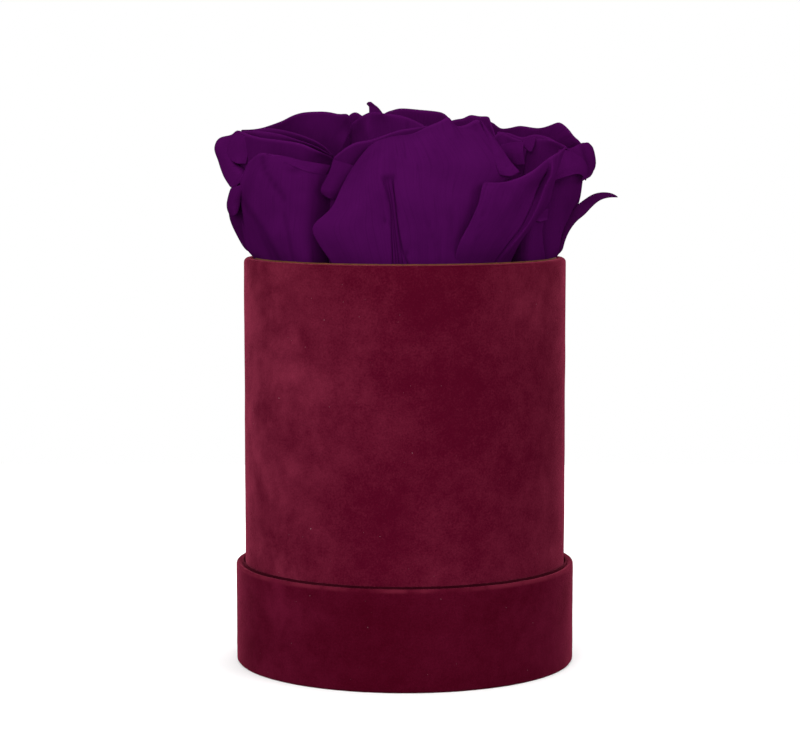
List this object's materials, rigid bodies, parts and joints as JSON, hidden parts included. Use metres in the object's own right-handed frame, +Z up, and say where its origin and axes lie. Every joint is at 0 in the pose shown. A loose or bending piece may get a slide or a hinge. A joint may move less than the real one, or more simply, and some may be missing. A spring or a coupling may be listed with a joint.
{
  "type": "flower box",
  "caption": "Round velvet-covered box standing in its own upturned lid, its mouth filled with large preserved roses that pull up out of dry foam.",
  "frame": {"origin": "middle of the underside of the upturned lid, on the table", "axes": "+Z up along the axis of the box, -Y towards the viewer of the picture, +X to the viewer's right"},
  "size_m": [0.1233, 0.1119, 0.1735],
  "materials": {
    "velvet": "matte",
    "board": "matte",
    "lining_paper": "matte",
    "foam": "matte",
    "petal": "matte",
    "green": "matte",
    "stem": "matte",
    "wire": "satin"
  },
  "bodies": {
    "lid": {"lid_wall": "board", "lid_panel": "board", "lid_velvet_strip": "velvet", "lid_velvet_disc": "velvet", "lid_wall_lining": "lining_paper", "lid_panel_lining": "lining_paper"},
    "box": {"box_tube": "board", "box_floor": "board", "box_velvet_cover": "velvet", "box_base_paper": "lining_paper", "box_lining": "lining_paper", "foam_block": "foam"},
    "rose_front": {"rose_front_heart": "petal", "rose_front_inner_petals": "petal", "rose_front_middle_petals": "petal", "rose_front_outer_petals": "petal", "rose_front_sepals": "green", "rose_front_hip": "green", "rose_front_stem": "stem", "rose_front_pick": "wire"},
    "rose_left": {"rose_left_heart": "petal", "rose_left_inner_petals": "petal", "rose_left_middle_petals": "petal", "rose_left_outer_petals": "petal", "rose_left_sepals": "green", "rose_left_hip": "green", "rose_left_stem": "stem", "rose_left_pick": "wire"},
    "rose_right": {"rose_right_heart": "petal", "rose_right_inner_petals": "petal", "rose_right_middle_petals": "petal", "rose_right_outer_petals": "petal", "rose_right_sepals": "green", "rose_right_hip": "green", "rose_right_stem": "stem", "rose_right_pick": "wire"},
    "rose_back": {"rose_back_heart": "petal", "rose_back_inner_petals": "petal", "rose_back_middle_petals": "petal", "rose_back_outer_petals": "petal", "rose_back_sepals": "green", "rose_back_hip": "green", "rose_back_stem": "stem", "rose_back_pick": "wire"}
  },
  "joints": [
    {"name": "box_lift", "type": "slide", "parent": "lid", "child": "box", "axis": [0, 0, 1], "range_m": [0, 0.045]},
    {"name": "rose_front_pull", "type": "slide", "parent": "box", "child": "rose_front", "axis": [0, 0, 1], "range_m": [0, 0.06]},
    {"name": "rose_left_pull", "type": "slide", "parent": "box", "child": "rose_left", "axis": [0, 0, 1], "range_m": [0, 0.06]},
    {"name": "rose_right_pull", "type": "slide", "parent": "box", "child": "rose_right", "axis": [0, 0, 1], "range_m": [0, 0.06]},
    {"name": "rose_back_pull", "type": "slide", "parent": "box", "child": "rose_back", "axis": [0, 0, 1], "range_m": [0, 0.06]}
  ]
}
